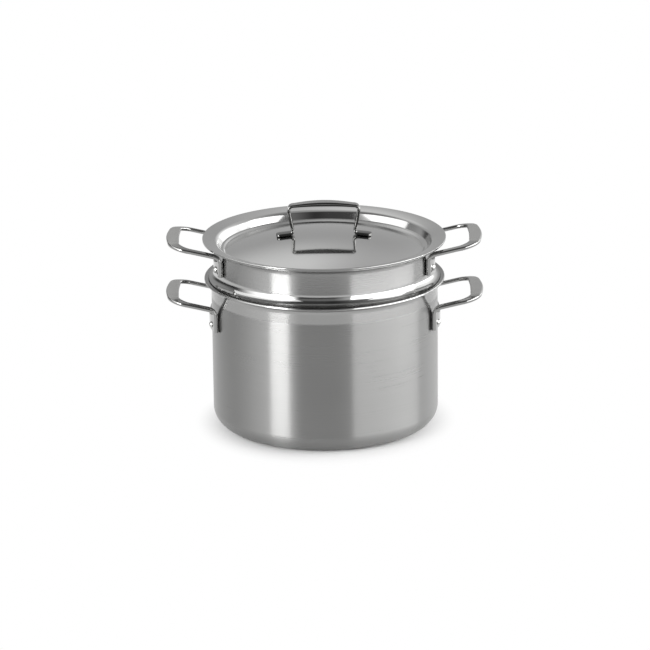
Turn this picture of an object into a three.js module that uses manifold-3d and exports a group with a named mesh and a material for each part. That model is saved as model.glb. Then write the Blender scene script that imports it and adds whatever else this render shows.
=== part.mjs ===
// Pasta pot with a hanging colander and a recessed lid, all in stainless steel.
// Millimetres, +Z up. The origin is the middle of the pot's underside and the side handles lie along X.
import * as THREE from 'three';
import { mergeVertices } from 'three/addons/utils/BufferGeometryUtils.js';
import Module from 'manifold-3d';

// Fits
const SEAT_GAP = 0.3;
const SLOPE_OF_RIMS = 12.5;

// Pot: one deep-drawn shell with a flared pouring rim
const POT_INNER_RADIUS = 120;
const POT_SHEET = 2.5;
const POT_CORNER_RADIUS = 20;
const POT_RIM_SPRING_HEIGHT = 155.3;
const POT_RIM_BEND = 9;
const POT_RIM_REACH = 7.7;

// Colander: a thin shell with a shoulder that sits in the pot's flared rim
const COLANDER_CLEARANCE = 3;
const COLANDER_SHEET = 1.2;
const COLANDER_RIM_BEND = 9;
const COLANDER_RIM_REACH = 13;
const COLLAR_HEIGHT = 29.7;
const SHOULDER_REACH = 8;
const SHOULDER_HEIGHT = 10.7;
const SHOULDER_TIP_RADIUS = 1.6;
const BASKET_STEP = 1.6;
const BASKET_CORNER_RADIUS = 18;
const BASKET_FLOOR_CLEARANCE = 22.15147;
const SHOULDER_UNDERSIDE_DROP = 6;

// Holes of the colander
const SIDE_HOLE_RADIUS = 3.2;
const SIDE_HOLE_ROWS = 4;
const SIDE_HOLES_PER_ROW = 22;
const SIDE_ROW_PITCH = 22;
const LOWEST_ROW_RISE = 34;
const FLOOR_HOLE_RADIUS = 3.2;
const FLOOR_HOLE_RINGS = 3;
const FLOOR_RING_PITCH = 25;
const HOLES_ADDED_PER_RING = 6;

// Lid: a flat brim, a plug wall, a stepped groove and a domed panel
const LID_OVERHANG = 1.4;
const LID_SHEET = 1.2;
const LID_HEM = 1.9;
const LID_BRIM_WIDTH = 12.5;
const LID_BRIM_BEND = 6;
const LID_PLUG_SLOPE = 60;
const LID_PLUG_LENGTH = 7;
const LID_LEDGE_WIDTH = 2.6;
const LID_STEP_WIDTH = 2;
const LID_STEP_DEPTH = 1.4;
const LID_DOME_RISE = 16.2;

// Lid handle: one strap bent into a bridge, spot-welded by its feet
const BRIDGE_STRAP = 3.4;
const BRIDGE_BAR_THICKNESS = 5;
const BRIDGE_HEIGHT = 35.8;
const BRIDGE_ARCH_RISE = 2;
const BRIDGE_HALF_WIDTH = 39;
const BRIDGE_FOOT_INSET = 6.2;
const BRIDGE_CORNER = 7.5;
const BRIDGE_FOOT_BEND = 5;
const BRIDGE_FOOT_LENGTH = 18.6;
const BRIDGE_BAR_DEPTH = 12.6;
const BRIDGE_LEG_DEPTH = 10.5;
const BRIDGE_FOOT_DEPTH = 11.5;

// Side handles: two arms, a flat grip and a plate that is riveted to the wall
const ARM_OFFSET = 43.3;
const ARM_WIDTH = 6.8;
const ARM_THICKNESS = 4.4;
const ARM_SLOPE = 13;
const STRAP_ROLL = 12;
const ARM_WALL_BEND = 8;
const GRIP_WIDTH = 14.2;
const GRIP_THICKNESS = 4;
const GRIP_BOW = 1.5;
const GRIP_CORNER = 18;
const GRIP_CORNER_WIDTH = 12.8;
const STRAP_EDGE_RADIUS = 1.6;
const PLATE_THICKNESS = 2.6;
const PLATE_TOP_SAG = 9;

// Where each pair of side handles sits, below the spring of the pot's rim and below the collar's top
const POT_HANDLE_DROP = 17.3;
const POT_HANDLE_REACH = 55.8;
const POT_PLATE_HEIGHT = 24;
const POT_TONGUE_DROP = 4;
const COLANDER_HANDLE_DROP = 8.05147;
const COLANDER_HANDLE_REACH = 60.3;
const COLANDER_PLATE_HEIGHT = 21.4;
const COLANDER_TONGUE_DROP = 0;

// Rivets
const RIVET_SHANK_RADIUS = 2.4;
const RIVET_HEAD_RADIUS = 3.6;
const RIVET_HEAD_RISE = 2.2;
const RIVET_TAIL_RISE = 1.5;
const RIVET_OFFSET = 26;
const RIVET_RISE_ON_PLATE = 3.8;

// Facets
const ROUND_SEGMENTS = 2 * SIDE_HOLES_PER_ROW;
const RIVET_SEGMENTS = 8;
const HOLE_SIDES = 6;
const ARC_STEPS = 3;
const CORNER_STEPS = 4;
const DOME_STEPS = 4;
const EDGE_STEPS = 2;

const wasm = await Module();
wasm.setup();

const radians = THREE.MathUtils.degToRad;
const point = (r, z) => new THREE.Vector2(r, z);

const brushedSteel = new THREE.MeshStandardMaterial({ color: 0xbcbcba, roughness: 0.34, metalness: 1 });
const polishedSteel = new THREE.MeshStandardMaterial({ color: 0xd2d2d0, roughness: 0.12, metalness: 1 });
const satinSteel = new THREE.MeshStandardMaterial({ color: 0xa9a9a7, roughness: 0.42, metalness: 1 });

// A closed mesh with its shared corners merged becomes a solid that can be joined and cut.
function solidOf(geometry) {
  const bare = geometry.clone();
  bare.deleteAttribute('normal');
  bare.deleteAttribute('uv');
  const merged = mergeVertices(bare);
  const corners = merged.index.array;
  const triangles = [];
  for (let i = 0; i < corners.length; i += 3) {
    const [a, b, c] = corners.slice(i, i + 3);
    if (a !== b && b !== c && c !== a) triangles.push(a, b, c);
  }
  return new wasm.Manifold(new wasm.Mesh({
    numProp: 3,
    vertProperties: Float32Array.from(merged.attributes.position.array),
    triVerts: Uint32Array.from(triangles),
  }));
}

function geometryOf(solid) {
  const { vertProperties, triVerts } = solid.getMesh();
  const geometry = new THREE.BufferGeometry();
  geometry.setAttribute('position', new THREE.BufferAttribute(vertProperties, 3));
  geometry.setIndex(new THREE.BufferAttribute(triVerts, 1));
  geometry.computeVertexNormals();
  return geometry;
}

function cutAway(solid, cutters) {
  return cutters.reduce((left, cutter) => left.subtract(cutter), solid);
}

// Points of an arc in the (radius, height) half-plane, in degrees, both ends included.
function arc(centre, radius, from, to, steps = ARC_STEPS) {
  return Array.from({ length: steps + 1 }, (_, i) => {
    const turn = radians(from + ((to - from) * i) / steps);
    return point(centre.x + radius * Math.cos(turn), centre.y + radius * Math.sin(turn));
  });
}

function leftOf(from, to) {
  const along = to.clone().sub(from).normalize();
  return point(-along.y, along.x);
}

// The far face of a sheet: every corner of the near face moved to its left by the sheet's thickness.
function farFace(face, thickness) {
  return face.map((corner, i) => {
    const before = i > 0 ? leftOf(face[i - 1], corner) : leftOf(corner, face[1]);
    const after = i < face.length - 1 ? leftOf(corner, face[i + 1]) : before;
    const mitre = before.clone().add(after).normalize();
    return corner.clone().addScaledVector(mitre, thickness / mitre.dot(before));
  });
}

// A spun sheet: the near face is drawn from foot to edge, with the metal on its left.
function spunSheet(face, thickness) {
  const outline = [...face, ...farFace(face, thickness).reverse()];
  if (face[0].x > 0) outline.push(face[0].clone());
  return spun(outline, ROUND_SEGMENTS);
}

function spun(outline, segments) {
  const geometry = new THREE.LatheGeometry(outline, segments);
  geometry.rotateX(Math.PI / 2);
  return geometry;
}

// A skin through a row of equal closed loops, with both ends filled.
function loft(loops) {
  const count = loops[0].length;
  const corners = loops.flat().flatMap((corner) => corner.toArray());
  const index = [];
  for (let k = 0; k + 1 < loops.length; k += 1) {
    for (let i = 0; i < count; i += 1) {
      const a = k * count + i;
      const b = k * count + ((i + 1) % count);
      index.push(a, b, b + count, a, b + count, a + count);
    }
  }
  const last = (loops.length - 1) * count;
  for (let i = 1; i + 1 < count; i += 1) {
    index.push(0, i + 1, i, last, last + i, last + i + 1);
  }
  const geometry = new THREE.BufferGeometry();
  geometry.setAttribute('position', new THREE.Float32BufferAttribute(corners, 3));
  geometry.setIndex(index);
  return geometry;
}

// A flat strap's section at one station: a rounded rectangle spread along `across` and `out`.
function strapLoop({ at, across, out, width, thickness }) {
  const radius = Math.min(STRAP_EDGE_RADIUS, thickness / 2 - SEAT_GAP);
  const loop = [];
  for (const [outward, sideways, start] of [[1, 1, 0], [-1, 1, 90], [-1, -1, 180], [1, -1, 270]]) {
    const corner = point(outward * (thickness / 2 - radius), sideways * (width / 2 - radius));
    for (const { x, y } of arc(corner, radius, start, start + 90, EDGE_STEPS)) {
      loop.push(at.clone().addScaledVector(out, x).addScaledVector(across, y));
    }
  }
  return loop;
}

// A strap that is symmetric about Y = 0 or X = 0 is given by its first half, up to the middle.
function mirroredStations(half, mirror) {
  const flip = (v) => v.clone().multiply(mirror);
  const others = half.slice(0, -1).reverse().map((station) => ({
    ...station,
    at: flip(station.at),
    across: flip(station.across),
    out: flip(station.out),
  }));
  return [...half, ...others];
}

// Rims of the pot and the colander share one form: a bend out of the wall, then a sloping lip.
function flaredRim(wallRadius, springHeight, innerBend, sheet, reach) {
  const centre = point(wallRadius - sheet + innerBend, springHeight);
  const bend = arc(centre, innerBend - sheet, 180, 90 + SLOPE_OF_RIMS);
  const lipStart = bend[bend.length - 1];
  const lipRadius = wallRadius + reach;
  const lipRise = (lipRadius - lipStart.x) * Math.tan(radians(SLOPE_OF_RIMS));
  return { centre, face: [...bend, point(lipRadius, lipStart.y + lipRise)] };
}

// Pot shell
const potRadius = POT_INNER_RADIUS + POT_SHEET;
const potRim = flaredRim(potRadius, POT_RIM_SPRING_HEIGHT, POT_RIM_BEND, POT_SHEET, POT_RIM_REACH);
const potFace = [
  point(0, 0),
  ...arc(point(potRadius - POT_CORNER_RADIUS, POT_CORNER_RADIUS), POT_CORNER_RADIUS, -90, 0),
  ...potRim.face,
];
const potShell = solidOf(spunSheet(potFace, POT_SHEET));

// Colander shell: its shoulder's tip rests on the bend of the pot's rim
const colanderRadius = POT_INNER_RADIUS - COLANDER_CLEARANCE;
const basketRadius = colanderRadius - BASKET_STEP;
const shoulderRadius = colanderRadius + SHOULDER_REACH;
const tipRadius = shoulderRadius - SHOULDER_TIP_RADIUS;
const tipDistance = POT_RIM_BEND + SEAT_GAP + SHOULDER_TIP_RADIUS;
const seatAngle = Math.acos((potRim.centre.x - tipRadius) / tipDistance);
const tip = point(tipRadius, potRim.centre.y + tipDistance * Math.sin(seatAngle));
const shoulderTop = tip.y + SHOULDER_HEIGHT;
const collarTop = shoulderTop + COLLAR_HEIGHT;
const basketFloor = POT_SHEET + BASKET_FLOOR_CLEARANCE;
const undersideTop = tip.y - SHOULDER_UNDERSIDE_DROP;
const shoulderCurve = Array.from({ length: ARC_STEPS }, (_, i) => {
  const turn = radians((90 * (i + 1)) / ARC_STEPS);
  return point(
    colanderRadius + SHOULDER_REACH * (1 - Math.sin(turn)),
    tip.y + SHOULDER_HEIGHT * (1 - Math.cos(turn)),
  );
});
const colanderLip = flaredRim(colanderRadius, 0, COLANDER_RIM_BEND, COLANDER_SHEET, COLANDER_RIM_REACH);
const colanderLipRise = colanderLip.face[colanderLip.face.length - 1].y;
const colanderFace = [
  point(0, basketFloor),
  ...arc(
    point(basketRadius - BASKET_CORNER_RADIUS, basketFloor + BASKET_CORNER_RADIUS),
    BASKET_CORNER_RADIUS,
    -90,
    0,
  ),
  point(basketRadius, undersideTop),
  ...arc(tip, SHOULDER_TIP_RADIUS, -60, 0, EDGE_STEPS),
  ...shoulderCurve,
  ...colanderLip.face.map(({ x, y }) => point(x, y + collarTop - colanderLipRise)),
];
const colanderShell = solidOf(spunSheet(colanderFace, COLANDER_SHEET));

// A round cutter whose axis runs along Z, or outwards at an angle round the vessel.
function uprightCutter(radius, x, y, bottom, top) {
  const geometry = new THREE.CylinderGeometry(radius, radius, top - bottom, HOLE_SIDES);
  geometry.rotateX(Math.PI / 2);
  geometry.translate(x, y, (bottom + top) / 2);
  return solidOf(geometry);
}

function radialCutter(radius, angle, height, from, to, sides) {
  const geometry = new THREE.CylinderGeometry(radius, radius, to - from, sides);
  geometry.rotateZ(-Math.PI / 2);
  geometry.translate((from + to) / 2, 0, height);
  geometry.rotateZ(angle);
  return solidOf(geometry);
}

// Side holes sit in the middle of the wall's facets, in rows that are staggered by one facet.
const facetAngle = (2 * Math.PI) / ROUND_SEGMENTS;
const holeCutters = [];
for (let row = 0; row < SIDE_HOLE_ROWS; row += 1) {
  const height = basketFloor + LOWEST_ROW_RISE + row * SIDE_ROW_PITCH;
  for (let i = 0; i < SIDE_HOLES_PER_ROW; i += 1) {
    const angle = facetAngle * (2 * i + (row % 2) + 0.5);
    const inside = basketRadius - BASKET_CORNER_RADIUS;
    const outside = basketRadius + POT_SHEET;
    holeCutters.push(radialCutter(SIDE_HOLE_RADIUS, angle, height, inside, outside, HOLE_SIDES));
  }
}
for (let ring = 0; ring <= FLOOR_HOLE_RINGS; ring += 1) {
  const count = Math.max(1, ring * HOLES_ADDED_PER_RING);
  for (let i = 0; i < count; i += 1) {
    const angle = (2 * Math.PI * i) / count;
    const x = ring * FLOOR_RING_PITCH * Math.cos(angle);
    const y = ring * FLOOR_RING_PITCH * Math.sin(angle);
    holeCutters.push(
      uprightCutter(FLOOR_HOLE_RADIUS, x, y, basketFloor - COLANDER_SHEET, basketFloor + 2 * COLANDER_SHEET),
    );
  }
}

// One vessel's pair of riveted handles, on a wall of the given outer radius.
function handleFit({ wallRadius, sheet, height, reach, plateHeight, tongueDrop }) {
  const plateRadius = wallRadius + SEAT_GAP;
  const legRadius = plateRadius + ARM_THICKNESS / 2;
  const plateFoot = height - plateHeight;
  return {
    wallRadius,
    sheet,
    height,
    reach,
    plateRadius,
    plateFoot,
    tongueDrop,
    legRadius,
    legAngle: Math.asin(ARM_OFFSET / legRadius),
    rivetAngle: Math.asin(RIVET_OFFSET / wallRadius),
    rivetHeight: plateFoot + RIVET_RISE_ON_PLATE,
  };
}

const potHandles = handleFit({
  wallRadius: potRadius,
  sheet: POT_SHEET,
  height: POT_RIM_SPRING_HEIGHT - POT_HANDLE_DROP,
  reach: POT_HANDLE_REACH,
  plateHeight: POT_PLATE_HEIGHT,
  tongueDrop: POT_TONGUE_DROP,
});
const colanderHandles = handleFit({
  wallRadius: colanderRadius,
  sheet: COLANDER_SHEET,
  height: collarTop - COLANDER_HANDLE_DROP,
  reach: COLANDER_HANDLE_REACH,
  plateHeight: COLANDER_PLATE_HEIGHT,
  tongueDrop: COLANDER_TONGUE_DROP,
});

function rivetCutters(fit, angles) {
  const radius = RIVET_SHANK_RADIUS + SEAT_GAP;
  const from = fit.wallRadius - fit.sheet - RIVET_HEAD_RADIUS;
  const to = fit.plateRadius + PLATE_THICKNESS + ARM_THICKNESS;
  return angles.map((angle) => radialCutter(radius, angle, fit.rivetHeight, from, to, RIVET_SEGMENTS));
}

const handleRivetAngles = (fit) => [-fit.rivetAngle, fit.rivetAngle];
const vesselRivetAngles = (fit) => handleRivetAngles(fit).flatMap((angle) => [angle, angle + Math.PI]);

// The loop's strap is rolled about its run, so that its outer edge lies lower than its inner edge.
function rolled(across, under) {
  const roll = radians(STRAP_ROLL);
  return {
    across: across.clone().multiplyScalar(Math.cos(roll)).addScaledVector(under, Math.sin(roll)),
    out: under.clone().multiplyScalar(Math.cos(roll)).addScaledVector(across, -Math.sin(roll)),
  };
}

// The loop: a leg on the wall, a bend, a rising arm, a corner and half the grip, then the same mirrored.
function handleStations(fit) {
  const slope = radians(ARM_SLOPE);
  const alongArm = new THREE.Vector3(Math.cos(slope), 0, Math.sin(slope));
  const underArm = new THREE.Vector3(Math.sin(slope), 0, -Math.cos(slope));
  const sideways = new THREE.Vector3(0, 1, 0);
  const arm = rolled(sideways, underArm);
  const legAcross = new THREE.Vector3(-Math.sin(fit.legAngle), Math.cos(fit.legAngle), 0);
  const legOut = new THREE.Vector3(Math.cos(fit.legAngle), Math.sin(fit.legAngle), 0);
  const knee = new THREE.Vector3(fit.legRadius * Math.cos(fit.legAngle), ARM_OFFSET, fit.height);
  const legTop = knee.clone().setZ(fit.height - ARM_WALL_BEND);
  const armStart = knee.clone().addScaledVector(alongArm, ARM_WALL_BEND);
  const strap = { width: ARM_WIDTH, thickness: ARM_THICKNESS };
  const half = [
    { at: legTop.clone().setZ(fit.plateFoot), across: legAcross, out: legOut, ...strap },
  ];
  const bend = new THREE.QuadraticBezierCurve3(legTop, knee, armStart);
  for (let i = 0; i <= ARC_STEPS; i += 1) {
    const share = i / ARC_STEPS;
    half.push({
      at: bend.getPoint(share),
      across: legAcross.clone().lerp(arm.across, share).normalize(),
      out: legOut.clone().lerp(arm.out, share).normalize(),
      ...strap,
    });
  }
  const gripRun = fit.reach - GRIP_WIDTH / 2 - GRIP_BOW;
  const corner = knee.clone().addScaledVector(alongArm, gripRun - GRIP_CORNER);
  corner.y -= GRIP_CORNER;
  for (let i = 0; i <= CORNER_STEPS; i += 1) {
    const share = i / CORNER_STEPS;
    const turn = (Math.PI / 2) * share;
    const outward = sideways.clone().multiplyScalar(Math.cos(turn)).addScaledVector(alongArm, Math.sin(turn));
    half.push({
      at: corner.clone().addScaledVector(outward, GRIP_CORNER),
      ...rolled(outward, underArm),
      width: THREE.MathUtils.lerp(ARM_WIDTH, GRIP_CORNER_WIDTH, share),
      thickness: ARM_THICKNESS,
    });
  }
  const gripStart = half[half.length - 1].at;
  for (let i = 1; i <= EDGE_STEPS; i += 1) {
    const share = i / EDGE_STEPS;
    const swell = Math.sin((Math.PI / 2) * share);
    const at = gripStart.clone().addScaledVector(alongArm, GRIP_BOW * swell);
    at.y = gripStart.y * (1 - share);
    half.push({
      at,
      ...rolled(alongArm, underArm),
      width: THREE.MathUtils.lerp(GRIP_CORNER_WIDTH, GRIP_WIDTH, swell),
      thickness: THREE.MathUtils.lerp(ARM_THICKNESS, GRIP_THICKNESS, swell),
    });
  }
  return mirroredStations(half, new THREE.Vector3(1, -1, 1));
}

// The plate between the legs hugs the wall. Its upper edge sags and its lower edge hangs as a shallow tongue.
function handlePlate(fit) {
  const steps = 2 * ARC_STEPS;
  const inner = fit.plateRadius;
  const outer = inner + PLATE_THICKNESS;
  const loops = [];
  for (let i = 0; i <= steps; i += 1) {
    const share = (2 * i) / steps - 1;
    const angle = share * fit.legAngle;
    const sag = Math.cos((Math.PI / 2) * share);
    const foot = fit.plateFoot - fit.tongueDrop * sag;
    const top = fit.height - ARM_WALL_BEND / 2 - PLATE_TOP_SAG * sag;
    const radial = new THREE.Vector3(Math.cos(angle), Math.sin(angle), 0);
    const at = (radius, z) => radial.clone().multiplyScalar(radius).setZ(z);
    loops.push([at(inner, foot), at(inner, top), at(outer, top), at(outer, foot)]);
  }
  return loft(loops);
}

function handleSolid(fit) {
  const loop = solidOf(loft(handleStations(fit).map(strapLoop)));
  const plate = solidOf(handlePlate(fit));
  return cutAway(loop.add(plate), rivetCutters(fit, handleRivetAngles(fit)));
}

// A rivet: a flat tail inside the wall, a shank through wall and plate, a domed head outside.
function rivetGeometry(fit) {
  const wallInside = (fit.wallRadius - fit.sheet) * Math.cos(facetAngle / 2) - SEAT_GAP;
  const headSeat = fit.plateRadius + PLATE_THICKNESS + SEAT_GAP;
  const domeRadius = (RIVET_HEAD_RADIUS ** 2 + RIVET_HEAD_RISE ** 2) / (2 * RIVET_HEAD_RISE);
  const domeCentre = point(0, headSeat + RIVET_HEAD_RISE - domeRadius);
  const domeEdge = THREE.MathUtils.radToDeg(Math.asin((domeRadius - RIVET_HEAD_RISE) / domeRadius));
  const dome = arc(domeCentre, domeRadius, domeEdge, 90, EDGE_STEPS + 1);
  dome[dome.length - 1].x = 0;
  return spun([
    point(0, wallInside - RIVET_TAIL_RISE),
    point(RIVET_SHANK_RADIUS, wallInside - RIVET_TAIL_RISE),
    point(RIVET_HEAD_RADIUS, wallInside - RIVET_TAIL_RISE / 2),
    point(RIVET_HEAD_RADIUS, wallInside),
    point(RIVET_SHANK_RADIUS, wallInside),
    point(RIVET_SHANK_RADIUS, headSeat),
    ...dome,
  ], RIVET_SEGMENTS);
}

// Lid shell, drawn from the hem inwards, with its brim on the colander's lip
const rimSlope = Math.tan(radians(SLOPE_OF_RIMS));
const colanderLipRadius = colanderRadius + COLANDER_RIM_REACH;
const lipFaceTop = collarTop + COLANDER_SHEET / Math.cos(radians(SLOPE_OF_RIMS));
const lidRadius = colanderLipRadius + LID_OVERHANG;
const brimClearance = (LID_SHEET + SEAT_GAP) / Math.cos(radians(SLOPE_OF_RIMS));
const lidEdge = lipFaceTop + LID_OVERHANG * rimSlope + brimClearance;
const brimEnd = point(lidRadius - LID_BRIM_WIDTH, lidEdge - LID_BRIM_WIDTH * rimSlope);
const brimBendCentre = point(
  brimEnd.x + LID_BRIM_BEND * Math.sin(radians(SLOPE_OF_RIMS)),
  brimEnd.y - LID_BRIM_BEND * Math.cos(radians(SLOPE_OF_RIMS)),
);
const brimBend = arc(brimBendCentre, LID_BRIM_BEND, 90 + SLOPE_OF_RIMS, 90 + LID_PLUG_SLOPE);
const plugStart = brimBend[brimBend.length - 1];
const plugEnd = point(
  plugStart.x - LID_PLUG_LENGTH * Math.cos(radians(LID_PLUG_SLOPE)),
  plugStart.y - LID_PLUG_LENGTH * Math.sin(radians(LID_PLUG_SLOPE)),
);
const ledgeEnd = point(plugEnd.x - LID_LEDGE_WIDTH, plugEnd.y);
const panelEdge = point(ledgeEnd.x - LID_STEP_WIDTH, ledgeEnd.y - LID_STEP_DEPTH);
const domeRadius = (panelEdge.x ** 2 + LID_DOME_RISE ** 2) / (2 * LID_DOME_RISE);
const domeCentre = panelEdge.y + LID_DOME_RISE - domeRadius;
const domeEdgeAngle = THREE.MathUtils.radToDeg(Math.acos(panelEdge.x / domeRadius));
const dome = arc(point(0, domeCentre), domeRadius, domeEdgeAngle, 90, DOME_STEPS);
dome[dome.length - 1].x = 0;
const lidFace = [
  point(lidRadius, lidEdge - LID_HEM),
  point(lidRadius, lidEdge),
  ...brimBend,
  plugEnd,
  ledgeEnd,
  ...dome,
];

// The bridge's strap runs from a foot on the dome, up a leg, round a corner and along the arched bar.
function bridgeStations() {
  const away = new THREE.Vector3(0, 1, 0);
  const lift = SEAT_GAP + BRIDGE_STRAP / 2;
  const onDome = (x) => new THREE.Vector3(x, 0, domeCentre + Math.sqrt((domeRadius + lift) ** 2 - x * x));
  const barHeight = domeCentre + domeRadius + BRIDGE_HEIGHT - BRIDGE_BAR_THICKNESS / 2;
  const footKnee = onDome(BRIDGE_HALF_WIDTH - BRIDGE_FOOT_INSET);
  const corner = new THREE.Vector3(BRIDGE_HALF_WIDTH, 0, barHeight - BRIDGE_ARCH_RISE);
  const legDirection = corner.clone().sub(footKnee).normalize();
  const bendStart = onDome(footKnee.x + BRIDGE_FOOT_BEND);
  const bendEnd = footKnee.clone().addScaledVector(legDirection, BRIDGE_FOOT_BEND);
  const cornerStart = corner.clone().addScaledVector(legDirection, -BRIDGE_CORNER);
  const barStart = corner.clone().setX(corner.x - BRIDGE_CORNER);
  const barMiddle = new THREE.Vector3(0, 0, barHeight);
  const barCrest = new THREE.Vector3(barStart.x / 2, 0, barHeight);
  const route = [
    { at: onDome(footKnee.x + BRIDGE_FOOT_LENGTH), width: BRIDGE_FOOT_DEPTH },
    ...new THREE.QuadraticBezierCurve3(bendStart, footKnee, bendEnd)
      .getPoints(ARC_STEPS)
      .map((at, i) => ({
        at,
        width: THREE.MathUtils.lerp(BRIDGE_FOOT_DEPTH, BRIDGE_LEG_DEPTH, i / ARC_STEPS),
      })),
    ...new THREE.QuadraticBezierCurve3(cornerStart, corner, barStart)
      .getPoints(ARC_STEPS)
      .map((at) => ({ at, width: BRIDGE_LEG_DEPTH })),
    ...new THREE.QuadraticBezierCurve3(barStart, barCrest, barMiddle)
      .getPoints(EDGE_STEPS)
      .slice(1)
      .map((at) => ({ at, width: BRIDGE_BAR_DEPTH, thickness: BRIDGE_BAR_THICKNESS })),
  ];
  const half = route.map(({ at, width, thickness = BRIDGE_STRAP }, i) => {
    const before = i > 0 ? route[i - 1].at : at;
    const after = i + 1 < route.length ? route[i + 1].at : at.clone().setX(-route[i - 1].at.x).setZ(before.z);
    const along = after.clone().sub(before).normalize();
    const out = new THREE.Vector3(along.z, 0, -along.x);
    return { at, across: away, out, width, thickness };
  });
  return mirroredStations(half, new THREE.Vector3(-1, 1, 1));
}

function namedMesh(name, geometry, material) {
  const mesh = new THREE.Mesh(geometry, material);
  mesh.name = name;
  return mesh;
}

// A vessel's two handles face opposite ways, each with a front and a back rivet.
function handlePair(vessel, fit) {
  const pair = new THREE.Group();
  const handle = geometryOf(handleSolid(fit));
  const rivet = rivetGeometry(fit);
  for (const [side, turn] of [['right', 0], ['left', Math.PI]]) {
    const group = new THREE.Group();
    group.rotation.z = turn;
    group.add(namedMesh(`${vessel}_handle_${side}`, handle, polishedSteel));
    const ends = turn === 0 ? ['front', 'back'] : ['back', 'front'];
    handleRivetAngles(fit).forEach((angle, i) => {
      const spoke = new THREE.Group();
      spoke.rotation.z = angle;
      const mesh = namedMesh(`${vessel}_rivet_${side}_${ends[i]}`, rivet, polishedSteel);
      mesh.position.z = fit.rivetHeight;
      mesh.rotation.y = Math.PI / 2;
      spoke.add(mesh);
      group.add(spoke);
    });
    pair.add(group);
  }
  return pair;
}

const potBody = cutAway(potShell, rivetCutters(potHandles, vesselRivetAngles(potHandles)));
const colanderBody = cutAway(
  colanderShell,
  [...holeCutters, ...rivetCutters(colanderHandles, vesselRivetAngles(colanderHandles))],
);

const pot = new THREE.Group();
pot.add(namedMesh('pot_body', geometryOf(potBody), brushedSteel));
pot.add(handlePair('pot', potHandles));

const colander = new THREE.Group();
colander.add(namedMesh('colander_body', geometryOf(colanderBody), brushedSteel));
colander.add(handlePair('colander', colanderHandles));

const lid = new THREE.Group();
lid.add(namedMesh('lid_shell', geometryOf(solidOf(spunSheet(lidFace, LID_SHEET))), polishedSteel));
lid.add(namedMesh('lid_handle', geometryOf(solidOf(loft(bridgeStations().map(strapLoop)))), satinSteel));

const pastaPot = new THREE.Group();
pastaPot.add(pot, colander, lid);

export default pastaPot;
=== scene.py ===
import math

import bpy
from mathutils import Matrix, Vector


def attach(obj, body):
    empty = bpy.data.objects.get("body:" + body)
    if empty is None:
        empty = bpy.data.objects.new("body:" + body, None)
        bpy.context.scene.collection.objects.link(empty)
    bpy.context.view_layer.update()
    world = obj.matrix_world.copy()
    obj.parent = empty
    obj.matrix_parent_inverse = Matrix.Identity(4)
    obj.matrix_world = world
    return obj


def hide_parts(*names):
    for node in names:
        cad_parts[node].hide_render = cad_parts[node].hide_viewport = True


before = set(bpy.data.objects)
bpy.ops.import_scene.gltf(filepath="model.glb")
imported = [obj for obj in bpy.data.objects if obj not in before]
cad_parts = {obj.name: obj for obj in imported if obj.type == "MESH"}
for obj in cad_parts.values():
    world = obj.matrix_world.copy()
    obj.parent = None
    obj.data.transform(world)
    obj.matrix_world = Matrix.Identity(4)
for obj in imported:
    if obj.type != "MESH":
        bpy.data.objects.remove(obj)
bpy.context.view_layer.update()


# Pot shell
# A deep-drawn vessel of bonded sheet, steel outside and in, with a rounded base and a rim flared for pouring.
# Its wall is brushed round and round, and the band under the rim is left brighter by the rolling of the rim.
SEAT_GAP = 0.0003
RIM_SLOPE = math.radians(12.5)
POT_RADIUS = 0.1225
POT_SHEET = 0.0025
POT_CORNER = 0.020
POT_RIM_SPRING = 0.1553
POT_RIM_BEND = 0.009
POT_LIP_RADIUS = 0.1302
EASE_SHARE = 0.35
TURNS = 192
BEND_STEPS = 14
HOLE_SIDES = 24
ON_AXIS = 1e-7
CREASE = math.radians(32)
POT_BRUSH_TOP = 0.145
BAND_FADE = 0.0012
POT_ROUGHNESS = 0.29
POT_BAND_ROUGHNESS = 0.2
BRUSH_LINES = (3.0, 3.0, 1900.0)
POT_PATCHES = (14.0, 14.0, 22.0)
POT_STEEL = (0.25, 0.25, 0.247)
POT_BAND_STEEL = (0.34, 0.34, 0.336)


def polar(radius, turn):
    return Vector((radius * math.cos(turn), radius * math.sin(turn)))


def arc(centre, radius, start, end, steps=BEND_STEPS):
    """Points of an arc in the half-plane of radius and height, both ends included."""
    return [centre + polar(radius, start + (end - start) * i / steps) for i in range(steps + 1)]


def left_of(start, end):
    along = (end - start).normalized()
    return Vector((-along.y, along.x))


def far_face(face, thickness):
    """The sheet's other face: each point of the near face moved to its left by the thickness."""
    moved = []
    for i, corner in enumerate(face):
        before = left_of(face[i - 1], corner) if i else left_of(corner, face[1])
        after = left_of(corner, face[i + 1]) if i + 1 < len(face) else before
        mitre = (before + after).normalized()
        moved.append(corner + mitre * (thickness / mitre.dot(before)))
    return moved


def eased(before, corner, after, radius, steps=4):
    """A corner of an outline rounded to a small radius."""
    back = (before - corner).normalized()
    ahead = (after - corner).normalized()
    half = back.angle(ahead) / 2
    centre = corner + (back + ahead).normalized() * (radius / math.sin(half))
    first = corner + back * (radius / math.tan(half)) - centre
    last = corner + ahead * (radius / math.tan(half)) - centre
    return [centre + first.slerp(last, i / steps).normalized() * radius for i in range(steps + 1)]


def edged_sheet(face, thickness):
    """The outline of a spun sheet from its near face, with the free edge at the end eased on both sides."""
    back = far_face(face, thickness)
    ease = thickness * EASE_SHARE
    edge = eased(face[-2], face[-1], back[-1], ease) + eased(face[-1], back[-1], back[-2], ease)
    return face[:-1] + edge + back[-2::-1]


def creased(mesh):
    """The mesh shaded smooth, with its real edges kept sharp."""
    mesh.shade_smooth()
    mesh.set_sharp_from_angle(angle=CREASE)
    return mesh


def smooth_mesh(name, corners, faces):
    mesh = bpy.data.meshes.new(name)
    mesh.from_pydata(corners, [], faces)
    mesh.validate()
    return creased(mesh)


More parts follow.
